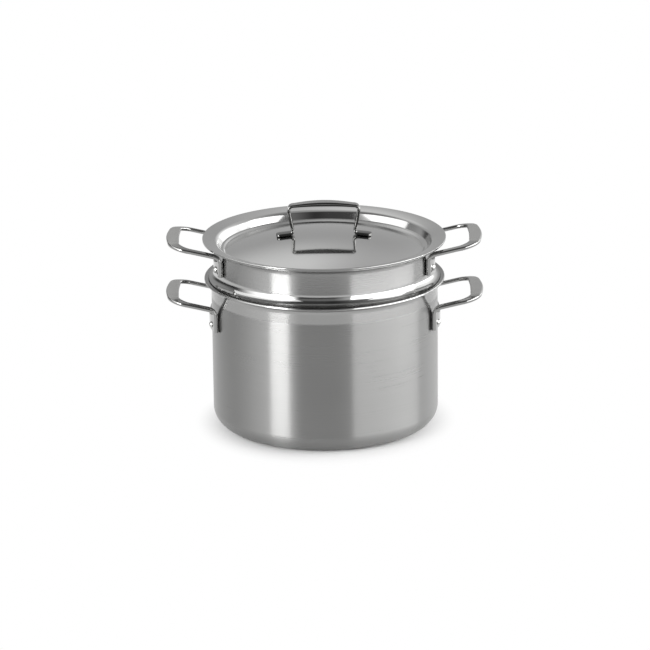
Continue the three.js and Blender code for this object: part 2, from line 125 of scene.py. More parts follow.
def spun(name, outline, turns=TURNS):
    """An outline in the half-plane of radius and height, turned about the Z axis into a closed skin."""
    corners = []
    rings = []
    for radius, height in outline:
        if radius < ON_AXIS:
            rings.append([len(corners)] * turns)
            corners.append((0.0, 0.0, height))
            continue
        rings.append(list(range(len(corners), len(corners) + turns)))
        for i in range(turns):
            x, y = polar(radius, 2 * math.pi * i / turns)
            corners.append((x, y, height))
    closed = outline[0][0] > ON_AXIS
    faces = []
    for k in range(len(rings) if closed else len(rings) - 1):
        low = rings[k]
        high = rings[(k + 1) % len(rings)]
        for i in range(turns):
            j = (i + 1) % turns
            face = [low[i], low[j], high[j], high[i]]
            faces.append(list(dict.fromkeys(face)))
    return smooth_mesh(name, corners, faces)


class Shade:
    """A value in a material, which adds, multiplies and so on as a number does."""

    def __init__(self, tree, socket):
        self.tree = tree
        self.socket = socket

    def node(self, kind, settings=None, sockets=None, output=0):
        made = self.tree.nodes.new(kind)
        for name, value in (settings or {}).items():
            setattr(made, name, value)
        for name, value in (sockets or {}).items():
            if isinstance(value, Shade):
                self.tree.links.new(value.socket, made.inputs[name])
            else:
                made.inputs[name].default_value = value
        return Shade(self.tree, made.outputs[output])

    def maths(self, operation, first, second):
        return self.node("ShaderNodeMath", {"operation": operation}, {0: first, 1: second})

    def __add__(self, other):
        return self.maths("ADD", self, other)

    def __radd__(self, other):
        return self.maths("ADD", other, self)

    def __sub__(self, other):
        return self.maths("SUBTRACT", self, other)

    def __rsub__(self, other):
        return self.maths("SUBTRACT", other, self)

    def __mul__(self, other):
        return self.maths("MULTIPLY", self, other)

    def __rmul__(self, other):
        return self.maths("MULTIPLY", other, self)

    def __abs__(self):
        return self.maths("ABSOLUTE", self, 0.0)

    def into(self, shader, name):
        self.tree.links.new(self.socket, shader.inputs[name])


def place_in(tree, kind):
    """Where a point lies on its piece, or which way it lies in the room."""
    return Shade(tree, tree.nodes.new("ShaderNodeTexCoord").outputs[kind])


def coordinate(place, axis):
    return place.node("ShaderNodeSeparateXYZ", {}, {"Vector": place}, axis)


def ramp(value, start, end, low, high):
    """A soft step from low to high as the value goes from start to end."""
    return value.node(
        "ShaderNodeMapRange",
        {"interpolation_type": "SMOOTHSTEP"},
        {"Value": value, "From Min": start, "From Max": end, "To Min": low, "To Max": high},
    )


def stretched_noise(place, stretch, detail=3.0):
    """Grain that is drawn out along the directions with a small stretch."""
    drawn = place.node("ShaderNodeVectorMath", {"operation": "MULTIPLY"}, {0: place, 1: stretch})
    return place.node("ShaderNodeTexNoise", {}, {"Vector": drawn, "Scale": 1.0, "Detail": detail})


def patchy_noise(place, stretch):
    """Broad, soft patches, as handling and washing leave them."""
    return stretched_noise(place, stretch, 2.0)


def swing(grain, amount):
    """The grain as a swing to both sides of nought."""
    return (grain - 0.5) * amount


def steel(name, anisotropic=0.0, rotation=0.0):
    """A bare steel: the material, its shader and the place on the piece."""
    material = bpy.data.materials.new(name)
    material.use_nodes = True
    tree = material.node_tree
    shader = tree.nodes["Principled BSDF"]
    shader.inputs["Metallic"].default_value = 1.0
    shader.inputs["Anisotropic"].default_value = anisotropic
    shader.inputs["Anisotropic Rotation"].default_value = rotation
    return material, shader, place_in(tree, "Object")


def brushed_round(name):
    """A steel brushed round its axis, which blurs what it mirrors up and down."""
    return steel(name, 1.0, 0.25)


def blended(mask, low, high):
    """One steel's colour where the mask is 0 and another's where it is 1."""
    ends = {"Factor": mask, 6: (*low, 1.0), 7: (*high, 1.0)}
    return mask.node("ShaderNodeMix", {"data_type": "RGBA"}, ends, 2)


def tinted(grain, colour, spread, shader):
    """The steel's colour, a little lighter and darker with the grain."""
    share = 1 - spread + grain * (2 * spread)
    tint = grain.node("ShaderNodeVectorMath", {"operation": "SCALE"}, {0: colour, "Scale": share})
    tint.into(shader, "Base Color")


def scratched(grain, height, shader, strength):
    """Fine relief from the grain."""
    sockets = {"Strength": strength, "Distance": height, "Height": grain}
    grain.node("ShaderNodeBump", {}, sockets).into(shader, "Normal")


def fitted(name, mesh, material, body, node):
    """A finished piece, which stands for a solid of the frame and moves with its body."""
    obj = bpy.data.objects.new(name, mesh)
    bpy.context.scene.collection.objects.link(obj)
    mesh.materials.clear()
    mesh.materials.append(material)
    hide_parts(node)
    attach(obj, body)
    return obj


def rim_bend(wall_radius, sheet, bend, spring):
    """A rim's bend from the wall to the start of the lip: its centre and its outer face."""
    centre = Vector((wall_radius - sheet + bend, spring))
    return centre, arc(centre, bend - sheet, math.pi, math.pi / 2 + RIM_SLOPE)


def lip_end(bend, lip_radius):
    rise = (lip_radius - bend[-1].x) * math.tan(RIM_SLOPE)
    return Vector((lip_radius, bend[-1].y + rise))


def pot_steel():
    material, shader, place = brushed_round("pot_brushed_steel")
    lines = stretched_noise(place, BRUSH_LINES)
    patches = patchy_noise(place, POT_PATCHES)
    height = coordinate(place, "Z")
    band = ramp(height, POT_BRUSH_TOP - BAND_FADE, POT_BRUSH_TOP + BAND_FADE, 0.0, 1.0)
    polish = POT_ROUGHNESS - band * (POT_ROUGHNESS - POT_BAND_ROUGHNESS)
    (polish + swing(lines, 0.07) + swing(patches, 0.05)).into(shader, "Roughness")
    tinted(lines, blended(band, POT_STEEL, POT_BAND_STEEL), 0.05, shader)
    scratched(lines, 0.00002, shader, 0.022)
    return material


pot_bend_centre, pot_bend = rim_bend(POT_RADIUS, POT_SHEET, POT_RIM_BEND, POT_RIM_SPRING)
pot_face = [Vector((0.0, 0.0))]
pot_face += arc(Vector((POT_RADIUS - POT_CORNER, POT_CORNER)), POT_CORNER, -math.pi / 2, 0.0)
pot_face += pot_bend + [lip_end(pot_bend, POT_LIP_RADIUS)]
pot_mesh = spun("pot_shell", edged_sheet(pot_face, POT_SHEET))
pot_shell = fitted("pot_shell", pot_mesh, pot_steel(), "pot", "pot_body")


# Pot handles
# Each is one bent strap: two arms that rise from the wall, a flat grip across them and a plate between them.
# The arms are polished and the grip's top is satin, and that top is also painted lighter than the rest, a
# painted highlight. The plate is curved to the wall and riveted to it.
ARM_OFFSET = 0.0433
ARM_WIDTH = 0.0068
ARM_THICKNESS = 0.0044
ARM_SLOPE = math.radians(13)
STRAP_ROLL = math.radians(12)
ARM_WALL_BEND = 0.008
GRIP_WIDTH = 0.0142
GRIP_THICKNESS = 0.004
GRIP_BOW = 0.0015
GRIP_CORNER = 0.018
GRIP_CORNER_WIDTH = 0.0128
STRAP_EDGE = 0.0021
STRAP_STEPS = 10
EDGE_STEPS = 5
PLATE_THICKNESS = 0.0026
PLATE_TOP_SAG = 0.009
PLATE_STEPS = 40
POT_HANDLE_DROP = 0.0173
POT_HANDLE_REACH = 0.0558
POT_PLATE_HEIGHT = 0.024
POT_TONGUE = 0.004
RIVET_SHANK = 0.0024
RIVET_OFFSET = 0.026
RIVET_RISE = 0.0038
SIDES = {"right": 0.0, "left": math.pi}
SATIN_HALF = 0.030
SATIN_FADE = 0.008
POLISH_ROUGHNESS = 0.06
GRIP_ROUGHNESS = 0.34
GRIP_GRAIN = (500.0, 60.0, 500.0)
HANDLE_SMEARS = (90.0, 90.0, 90.0)
# Painted light: the grip's upward top is coloured lighter than the arms and sides.
GRIP_TOP_PAINTED_LIGHT_STEEL = (0.52, 0.52, 0.51)
ARM_STEEL = (0.3, 0.3, 0.296)


def bar(radius, low, high):
    """A round bar about the Z axis."""
    outline = [Vector((0.0, low)), Vector((radius, low)), Vector((radius, high)), Vector((0.0, high))]
    return spun("bar", outline, HOLE_SIDES)


def lay_along_spoke(mesh, turn, height):
    """Lays a piece that was made upright along a spoke of the vessel, at an angle and a height."""
    aim = Matrix.Rotation(turn, 4, "Z") @ Matrix.Rotation(math.pi / 2, 4, "Y")
    mesh.transform(Matrix.Translation((0.0, 0.0, height)) @ aim)
    return mesh


def cut_or_joined(mesh, tool_mesh, operation):
    work = bpy.data.objects.new("work", mesh)
    tool = bpy.data.objects.new("tool", tool_mesh)
    for obj in (work, tool):
        bpy.context.scene.collection.objects.link(obj)
    step = work.modifiers.new("step", "BOOLEAN")
    step.object = tool
    step.operation = operation
    step.solver = "EXACT"
    made = bpy.data.meshes.new_from_object(work.evaluated_get(bpy.context.evaluated_depsgraph_get()))
    for obj in (work, tool):
        bpy.data.objects.remove(obj)
    return creased(made)


def drilled(mesh, cutters):
    """The mesh with the holes of the cutters, which are joined into one mesh first."""
    corners = []
    faces = []
    for cutter in cutters:
        start = len(corners)
        corners += [tuple(v.co) for v in cutter.vertices]
        faces += [[start + v for v in p.vertices] for p in cutter.polygons]
    return cut_or_joined(mesh, smooth_mesh("hole_cutters", corners, faces), "DIFFERENCE")


def pierce(shell, cutters):
    """Punches holes in a fitted shell, which keeps its own steel."""
    finish = shell.data.materials[0]
    shell.data = drilled(shell.data, cutters)
    shell.data.materials.clear()
    shell.data.materials.append(finish)


class HandleFit:
    """Where a vessel's pair of handles sits on its wall."""

    def __init__(self, wall_radius, sheet, height, reach, plate_height, tongue):
        self.wall_radius = wall_radius
        self.sheet = sheet
        self.height = height
        self.reach = reach
        self.plate_radius = wall_radius + SEAT_GAP
        self.plate_foot = height - plate_height
        self.tongue = tongue
        self.leg_radius = self.plate_radius + ARM_THICKNESS / 2
        self.leg_angle = math.asin(ARM_OFFSET / self.leg_radius)
        self.rivet_angle = math.asin(RIVET_OFFSET / wall_radius)
        self.rivet_height = self.plate_foot + RIVET_RISE

    def rivet_turns(self):
        return [-self.rivet_angle, self.rivet_angle]

    def rivet_holes(self, turns):
        start = self.wall_radius - self.sheet - ARM_THICKNESS
        end = self.plate_radius + PLATE_THICKNESS + ARM_THICKNESS
        radius = RIVET_SHANK + SEAT_GAP
        return [lay_along_spoke(bar(radius, start, end), turn, self.rivet_height) for turn in turns]

    def wall_holes(self):
        return self.rivet_holes([turn + side for side in SIDES.values() for turn in self.rivet_turns()])


def strap_loop(at, across, out, width, thickness):
    """A flat strap's section at one place: a rounded rectangle."""
    radius = min(STRAP_EDGE, thickness / 2 - SEAT_GAP)
    loop = []
    for outward, sideways, start in ((1, 1, 0), (-1, 1, 1), (-1, -1, 2), (1, -1, 3)):
        corner = Vector((outward * (thickness / 2 - radius), sideways * (width / 2 - radius)))
        for step in arc(corner, radius, start * math.pi / 2, (start + 1) * math.pi / 2, EDGE_STEPS):
            loop.append(at + out * step.x + across * step.y)
    return loop


def lofted(name, loops):
    """A skin through a row of equal loops, with both ends filled."""
    count = len(loops[0])
    corners = [tuple(corner) for loop in loops for corner in loop]
    faces = [list(range(count))[::-1], list(range(len(corners) - count, len(corners)))]
    for k in range(len(loops) - 1):
        for i in range(count):
            a = k * count + i
            b = k * count + (i + 1) % count
            faces.append([a, b, b + count, a + count])
    return smooth_mesh(name, corners, faces)


def bend_point(start, knee, end, share):
    return start * (1 - share) ** 2 + knee * (2 * share * (1 - share)) + end * share**2


def mirrored(half, flip):
    """The second half of a symmetric strap, from the first half up to the middle."""
    rest = [
        (flip @ at, flip @ across, flip @ out, width, thickness)
        for at, across, out, width, thickness in half[-2::-1]
    ]
    return half + rest


def rolled(across, under):
    """The strap's own directions once it is rolled, so that its outer edge lies lower than its inner edge."""
    lean = across * math.cos(STRAP_ROLL) + under * math.sin(STRAP_ROLL)
    return lean, under * math.cos(STRAP_ROLL) - across * math.sin(STRAP_ROLL)


def handle_stations(fit):
    """The strap's places from a leg's foot up, along the arm, round the corner and across the grip."""
    along = Vector((math.cos(ARM_SLOPE), 0.0, math.sin(ARM_SLOPE)))
    under = Vector((math.sin(ARM_SLOPE), 0.0, -math.cos(ARM_SLOPE)))
    sideways = Vector((0.0, 1.0, 0.0))
    arm_across, arm_out = rolled(sideways, under)
    leg_across = Vector((-math.sin(fit.leg_angle), math.cos(fit.leg_angle), 0.0))
    leg_out = Vector((math.cos(fit.leg_angle), math.sin(fit.leg_angle), 0.0))
    knee = Vector((fit.leg_radius * math.cos(fit.leg_angle), ARM_OFFSET, fit.height))
    leg_top = knee - Vector((0.0, 0.0, ARM_WALL_BEND))
    arm_start = knee + along * ARM_WALL_BEND
    foot = Vector((leg_top.x, leg_top.y, fit.plate_foot))
    half = [(foot, leg_across, leg_out, ARM_WIDTH, ARM_THICKNESS)]
    shares = [i / STRAP_STEPS for i in range(STRAP_STEPS + 1)]
    for share in shares:
        half.append((
            bend_point(leg_top, knee, arm_start, share),
            leg_across.lerp(arm_across, share).normalized(),
            leg_out.lerp(arm_out, share).normalized(),
            ARM_WIDTH,
            ARM_THICKNESS,
        ))
    run = fit.reach - GRIP_WIDTH / 2 - GRIP_BOW
    corner = knee + along * (run - GRIP_CORNER) - sideways * GRIP_CORNER
    for share in shares:
        turn = math.pi / 2 * share
        outward = sideways * math.cos(turn) + along * math.sin(turn)
        width = ARM_WIDTH + (GRIP_CORNER_WIDTH - ARM_WIDTH) * share
        half.append((corner + outward * GRIP_CORNER, *rolled(outward, under), width, ARM_THICKNESS))
    start = half[-1][0]
    for share in shares[1:]:
        swell = math.sin(math.pi / 2 * share)
        at = start + along * (GRIP_BOW * swell)
        at.y = start.y * (1 - share)
        width = GRIP_CORNER_WIDTH + (GRIP_WIDTH - GRIP_CORNER_WIDTH) * swell
        thickness = ARM_THICKNESS + (GRIP_THICKNESS - ARM_THICKNESS) * swell
        half.append((at, *rolled(along, under), width, thickness))
    return mirrored(half, Matrix.Scale(-1, 3, Vector((0.0, 1.0, 0.0))))


def handle_plate(fit):
    """The plate between the legs, curved to the wall, with a sagging top and a tongue below."""
    inner = fit.plate_radius
    outer = inner + PLATE_THICKNESS
    loops = []
    for i in range(PLATE_STEPS + 1):
        share = 2 * i / PLATE_STEPS - 1
        sag = math.cos(math.pi / 2 * share)
        foot = fit.plate_foot - fit.tongue * sag
        top = fit.height - ARM_WALL_BEND / 2 - PLATE_TOP_SAG * sag
        section = [Vector((inner, foot)), Vector((inner, top)), Vector((outer, top)), Vector((outer, foot))]
        rounded = []
        for k, corner in enumerate(section):
            rounded += eased(section[k - 1], corner, section[(k + 1) % 4], PLATE_THICKNESS / 4, 2)
        turn = share * fit.leg_angle
        loops.append([Vector((r * math.cos(turn), r * math.sin(turn), z)) for r, z in rounded])
    return lofted("handle_plate", loops)


def handle_mesh(fit, turn):
    loop = lofted("handle_loop", [strap_loop(*station) for station in handle_stations(fit)])
    whole = cut_or_joined(loop, handle_plate(fit), "UNION")
    holed = drilled(whole, fit.rivet_holes(fit.rivet_turns()))
    holed.transform(Matrix.Rotation(turn, 4, "Z"))
    return holed


def facing_up(place):
    """How far the surface faces up: 1 on a level top and 0 on an upright side."""
    return coordinate(place.node("ShaderNodeNewGeometry", output="Normal"), "Z")


def handle_steel():
    material, shader, place = steel("handle_polished_steel_and_painted_light")
    grain = stretched_noise(place, GRIP_GRAIN)
    smears = patchy_noise(place, HANDLE_SMEARS)
    across = abs(coordinate(place, "Y"))
    top = ramp(facing_up(place), 0.7, 0.9, 0.0, 1.0)
    satin_and_painted_light = ramp(across, SATIN_HALF, SATIN_HALF + SATIN_FADE, 1.0, 0.0) * top
    polish = POLISH_ROUGHNESS + satin_and_painted_light * (GRIP_ROUGHNESS - POLISH_ROUGHNESS)
    (polish + swing(grain, 0.05) + swing(smears, 0.03)).into(shader, "Roughness")
    # The satin top is painted lighter than the polished arms and sides: a painted highlight chosen by which
    # way the surface faces.
    tinted(smears, blended(satin_and_painted_light, ARM_STEEL, GRIP_TOP_PAINTED_LIGHT_STEEL), 0.06, shader)
    scratched(grain, 0.00001, shader, 0.02)
    return material


def fit_handles(vessel, fit, finish):
    for side, turn in SIDES.items():
        node = f"{vessel}_handle_{side}"
        fitted(f"{vessel}_grip_{side}", handle_mesh(fit, turn), finish, vessel, node)


pot_handle_height = POT_RIM_SPRING - POT_HANDLE_DROP
pot_fit = HandleFit(
    POT_RADIUS, POT_SHEET, pot_handle_height, POT_HANDLE_REACH, POT_PLATE_HEIGHT, POT_TONGUE
)
handle_finish = handle_steel()
pierce(pot_shell, pot_fit.wall_holes())
fit_handles("pot", pot_fit, handle_finish)


# Pot rivets
# Solid steel rivets, two to a handle. Each has a polished domed head on the plate outside,
# and a shank through plate and wall that is closed to a low flat head on the inside.
RIVET_HEAD = 0.0036
RIVET_DOME = 0.0022
RIVET_TAIL = 0.0015
RIVET_TURNS = 40
DOME_STEPS = 10
RIVET_GRAIN = (700.0, 700.0, 700.0)
RIVET_STEEL = (0.55, 0.55, 0.54)


def rivet_mesh(fit, turn):
    inside = fit.wall_radius - fit.sheet - SEAT_GAP
    seat = fit.plate_radius + PLATE_THICKNESS + SEAT_GAP
    round_off = (RIVET_HEAD**2 + RIVET_DOME**2) / (2 * RIVET_DOME)
    centre = Vector((0.0, seat + RIVET_DOME - round_off))
    edge = math.asin((round_off - RIVET_DOME) / round_off)
    head = arc(centre, round_off, edge, math.pi / 2, DOME_STEPS)
    head[-1].x = 0.0
    outline = [
        Vector((0.0, inside - RIVET_TAIL)),
        Vector((RIVET_SHANK, inside - RIVET_TAIL)),
        Vector((RIVET_HEAD, inside - RIVET_TAIL / 2)),
        Vector((RIVET_HEAD, inside)),
        Vector((RIVET_SHANK, inside)),
        Vector((RIVET_SHANK, seat)),
    ]
    return lay_along_spoke(spun("rivet", outline + head, RIVET_TURNS), turn, fit.rivet_height)


def rivet_steel():
    material, shader, place = steel("rivet_polished_steel")
    grain = stretched_noise(place, RIVET_GRAIN)
    (0.14 + grain * 0.12).into(shader, "Roughness")
    tinted(grain, RIVET_STEEL, 0.05, shader)
    return material


def fit_rivets(vessel, fit, finish):
    for side, side_turn in SIDES.items():
        ends = ("front", "back") if side == "right" else ("back", "front")
        for end, turn in zip(ends, fit.rivet_turns()):
            mesh = rivet_mesh(fit, turn + side_turn)
            node = f"{vessel}_rivet_{side}_{end}"
            fitted(f"{vessel}_stud_{side}_{end}", mesh, finish, vessel, node)


rivet_finish = rivet_steel()
fit_rivets("pot", pot_fit, rivet_finish)


# Colander shell
# One thin drawn shell: a plain collar above, a rolled shoulder that sits in the pot's rim, and a basket below
# with round holes in its side and its floor. The shoulder is polished and the rest is brushed round.
COLANDER_RADIUS = 0.117
COLANDER_SHEET = 0.0012
COLANDER_RIM_BEND = 0.009
COLANDER_LIP_RADIUS = 0.130
COLLAR_HEIGHT = 0.0297
SHOULDER_REACH = 0.008
SHOULDER_HEIGHT = 0.0107
SHOULDER_TIP = 0.0016
SHOULDER_DROP = 0.006
TIP_START = math.radians(-60)
TIP_STEPS = 6
BASKET_RADIUS = 0.1154
BASKET_CORNER = 0.018
BASKET_FLOOR_CLEARANCE = 0.02215147
HOLE_RADIUS = 0.0032
SIDE_ROWS = 4
SIDE_HOLES = 22
SIDE_PITCH = 0.022
LOWEST_ROW = 0.034
FLOOR_RINGS = 3
FLOOR_PITCH = 0.025
HOLES_PER_RING = 6
SHOULDER_FADE = 0.001
SHOULDER_ROUGHNESS = 0.09
COLANDER_ROUGHNESS = 0.26
COLANDER_PATCHES = (16.0, 16.0, 24.0)
COLANDER_STEEL = (0.28, 0.28, 0.277)
SHOULDER_STEEL = (0.42, 0.42, 0.416)

tip_radius = COLANDER_RADIUS + SHOULDER_REACH - SHOULDER_TIP
tip_distance = POT_RIM_BEND + SEAT_GAP + SHOULDER_TIP
tip_height = pot_bend_centre.y + math.sqrt(tip_distance**2 - (pot_bend_centre.x - tip_radius) ** 2)
tip = Vector((tip_radius, tip_height))
shoulder_foot = tip.y - SHOULDER_DROP
shoulder_top = tip.y + SHOULDER_HEIGHT
collar_top = shoulder_top + COLLAR_HEIGHT
basket_floor = POT_SHEET + BASKET_FLOOR_CLEARANCE


def shoulder_curve():
    curve = []
    for i in range(1, BEND_STEPS + 1):
        turn = math.pi / 2 * i / BEND_STEPS
        reach = SHOULDER_REACH * (1 - math.sin(turn))
        rise = SHOULDER_HEIGHT * (1 - math.cos(turn))
        curve.append(Vector((COLANDER_RADIUS + reach, tip.y + rise)))
    return curve


def side_holes():
    holes = []
    spacing = 2 * math.pi / SIDE_HOLES
    for row in range(SIDE_ROWS):
        height = basket_floor + LOWEST_ROW + row * SIDE_PITCH
        for i in range(SIDE_HOLES):
            turn = spacing * (i + (row % 2) / 2 + 0.25)
            hole = bar(HOLE_RADIUS, BASKET_RADIUS - BASKET_CORNER, BASKET_RADIUS + POT_SHEET)
            holes.append(lay_along_spoke(hole, turn, height))
    return holes


def floor_holes():
    holes = []
    for ring in range(FLOOR_RINGS + 1):
        count = max(1, ring * HOLES_PER_RING)
        for i in range(count):
            x, y = polar(ring * FLOOR_PITCH, 2 * math.pi * i / count)
            hole = bar(HOLE_RADIUS, basket_floor - COLANDER_SHEET, basket_floor + 2 * COLANDER_SHEET)
            hole.transform(Matrix.Translation((x, y, 0.0)))
            holes.append(hole)
    return holes


def colander_steel():
    material, shader, place = brushed_round("colander_brushed_steel")
    lines = stretched_noise(place, BRUSH_LINES)
    patches = patchy_noise(place, COLANDER_PATCHES)
    height = coordinate(place, "Z")
    above = ramp(height, shoulder_top - SHOULDER_FADE, shoulder_top + SHOULDER_FADE, 0.0, 1.0)
    below = ramp(height, shoulder_foot, shoulder_foot + 2 * SHOULDER_FADE, 1.0, 0.0)
    brushed = above + below
    polish = SHOULDER_ROUGHNESS + brushed * (COLANDER_ROUGHNESS - SHOULDER_ROUGHNESS)
    streaks = swing(lines, brushed * 0.08 + 0.01)
    (polish + streaks + swing(patches, 0.04)).into(shader, "Roughness")
    tinted(lines, blended(brushed, SHOULDER_STEEL, COLANDER_STEEL), 0.05, shader)
    scratched(lines, 0.00001, shader, 0.02)
    return material


colander_bend = rim_bend(COLANDER_RADIUS, COLANDER_SHEET, COLANDER_RIM_BEND, 0.0)[1]
colander_lip = lip_end(colander_bend, COLANDER_LIP_RADIUS)
basket_corner = Vector((BASKET_RADIUS - BASKET_CORNER, basket_floor + BASKET_CORNER))
colander_face = [Vector((0.0, basket_floor))]
colander_face += arc(basket_corner, BASKET_CORNER, -math.pi / 2, 0.0)
colander_face += [Vector((BASKET_RADIUS, shoulder_foot))]
colander_face += arc(tip, SHOULDER_TIP, TIP_START, 0.0, TIP_STEPS)
colander_face += shoulder_curve()
rim_lift = Vector((0.0, collar_top - colander_lip.y))
colander_face += [corner + rim_lift for corner in colander_bend + [colander_lip]]
colander_mesh = spun("colander_shell", edged_sheet(colander_face, COLANDER_SHEET))
colander_shell = fitted(
    "colander_shell", colander_mesh, colander_steel(), "colander", "colander_body"
)


# Colander handles
# The same strap handles as on the pot, with a shorter plate because the collar is low.
# They stand a little further out, so that a hand can lift the colander past the pot's own handles.
COLANDER_HANDLE_DROP = 0.00805147
COLANDER_HANDLE_REACH = 0.0603
COLANDER_PLATE_HEIGHT = 0.0214
COLANDER_TONGUE = 0.0

colander_fit = HandleFit(
    COLANDER_RADIUS,
    COLANDER_SHEET,
    collar_top - COLANDER_HANDLE_DROP,
    COLANDER_HANDLE_REACH,
    COLANDER_PLATE_HEIGHT,
    COLANDER_TONGUE,
)
pierce(colander_shell, side_holes() + floor_holes() + colander_fit.wall_holes())
fit_handles("colander", colander_fit, handle_finish)


# Colander rivets
# The same solid rivets as on the pot, two to a handle, with their domed heads on the plate.
# Their shanks are shorter, because the collar is a thinner sheet than the pot's wall.
fit_rivets("colander", colander_fit, rivet_finish)


# Lid shell
# One pressed sheet: a hemmed brim that rests on the colander's lip, a short plug wall, a ledge, a small step
# and a domed panel. It is polished all over, with the fine turned lines that polishing leaves, and its
# upright hem is painted darker than its level faces, as painted shade.
LID_RADIUS = 0.1314
LID_SHEET = 0.0012
LID_HEM = 0.0019
LID_BRIM_WIDTH = 0.0125
LID_BRIM_BEND = 0.006
LID_PLUG_SLOPE = math.radians(60)
LID_PLUG_LENGTH = 0.007
LID_LEDGE_WIDTH = 0.0026
LID_STEP_WIDTH = 0.002
LID_STEP_DEPTH = 0.0014
LID_DOME_RISE = 0.0162
PANEL_STEPS = 40
LID_ROUGHNESS = 0.1
LID_LINES = 1500.0
LID_PATCHES = (18.0, 18.0, 18.0)
LID_STEEL = (0.58, 0.58, 0.575)
# Painted shade: the colour of the lid's upright faces, darker than its level ones.
LID_HEM_PAINTED_SHADE = (0.24, 0.24, 0.237)

lip_face_top = collar_top + COLANDER_SHEET / math.cos(RIM_SLOPE)
brim_clearance = (LID_SHEET + SEAT_GAP) / math.cos(RIM_SLOPE)
lid_edge = lip_face_top + (LID_RADIUS - COLANDER_LIP_RADIUS) * math.tan(RIM_SLOPE) + brim_clearance
brim_end = Vector((LID_RADIUS - LID_BRIM_WIDTH, lid_edge - LID_BRIM_WIDTH * math.tan(RIM_SLOPE)))
brim_centre = brim_end + Vector((math.sin(RIM_SLOPE), -math.cos(RIM_SLOPE))) * LID_BRIM_BEND
brim_bend = arc(brim_centre, LID_BRIM_BEND, math.pi / 2 + RIM_SLOPE, math.pi / 2 + LID_PLUG_SLOPE)
plug_end = brim_bend[-1] - Vector((math.cos(LID_PLUG_SLOPE), math.sin(LID_PLUG_SLOPE))) * LID_PLUG_LENGTH
ledge_end = plug_end - Vector((LID_LEDGE_WIDTH, 0.0))
panel_edge = ledge_end - Vector((LID_STEP_WIDTH, LID_STEP_DEPTH))
dome_radius = (panel_edge.x**2 + LID_DOME_RISE**2) / (2 * LID_DOME_RISE)
dome_centre = panel_edge.y + LID_DOME_RISE - dome_radius
dome_start = math.acos(panel_edge.x / dome_radius)
dome = arc(Vector((0.0, dome_centre)), dome_radius, dome_start, math.pi / 2, PANEL_STEPS)
dome[-1].x = 0.0


def lid_steel():
    material, shader, place = steel("lid_polished_steel_and_painted_shade", 0.3, 0.0)
    reach = place.node("ShaderNodeVectorMath", {"operation": "LENGTH"}, {0: place}, "Value")
    sockets = {"W": reach, "Scale": LID_LINES, "Detail": 3.0}
    rings = reach.node("ShaderNodeTexNoise", {"noise_dimensions": "1D"}, sockets)
    patches = patchy_noise(place, LID_PATCHES)
    (LID_ROUGHNESS + swing(rings, 0.06) + swing(patches, 0.05)).into(shader, "Roughness")
    # Upright faces, the hem above all, are painted darker than level ones: painted shade chosen by which way
    # the surface faces.
    level = ramp(abs(facing_up(place)), 0.15, 0.4, 0.0, 1.0)
    tinted(patches, blended(level, LID_HEM_PAINTED_SHADE, LID_STEEL), 0.03, shader)
    scratched(rings, 0.00001, shader, 0.1)
    return material


hem_foot = Vector((LID_RADIUS, lid_edge - LID_HEM))
hem_top = Vector((LID_RADIUS, lid_edge))
lid_face = [hem_foot]
lid_face += eased(hem_foot, hem_top, brim_bend[0], LID_SHEET * EASE_SHARE)
lid_face += brim_bend
lid_face += eased(brim_bend[-1], plug_end, ledge_end, LID_SHEET / 2)
lid_face += eased(plug_end, ledge_end, dome[0], LID_SHEET / 2)
lid_face += eased(ledge_end, dome[0], dome[1], LID_SHEET / 2)
lid_face += dome[1:]
under_face = [hem_foot, hem_top] + brim_bend + [plug_end, ledge_end] + dome
lid_mesh = spun("lid_shell_polished", lid_face + far_face(under_face, LID_SHEET)[::-1])
fitted("lid_shell_polished", lid_mesh, lid_steel(), "lid", "lid_shell")


# Lid handle
# One flat strap bent into a bridge with an arched bar, welded to the dome by its two turned-out feet.
# The bar's top is satin, and its sides, the legs and the round-ended feet are polished. These polished faces
# are painted nearly black, a painted dark reflection.
BRIDGE_STRAP = 0.0034
BRIDGE_BAR_THICKNESS = 0.005
BRIDGE_HEIGHT = 0.0358
BRIDGE_ARCH = 0.002
BRIDGE_HALF = 0.039
BRIDGE_FOOT_INSET = 0.0062
BRIDGE_CORNER = 0.0075
BRIDGE_FOOT_BEND = 0.005
BRIDGE_FOOT_LENGTH = 0.0186
BRIDGE_FOOT_ROUND = 0.0036
BRIDGE_BAR_DEPTH = 0.0126
BRIDGE_LEG_DEPTH = 0.0105
BRIDGE_FOOT_DEPTH = 0.0115
BRIDGE_POLISH_ROUGHNESS = 0.07
BRIDGE_SATIN_ROUGHNESS = 0.32
BRIDGE_GRAIN = (60.0, 900.0, 900.0)
BRIDGE_TOP_STEEL = (0.42, 0.42, 0.415)
# Painted reflection: the near-black colour of the bar's sides, the legs and the feet.
BRIDGE_SIDE_PAINTED_REFLECTION = (0.15, 0.15, 0.147)

bridge_top = dome_centre + dome_radius + BRIDGE_HEIGHT


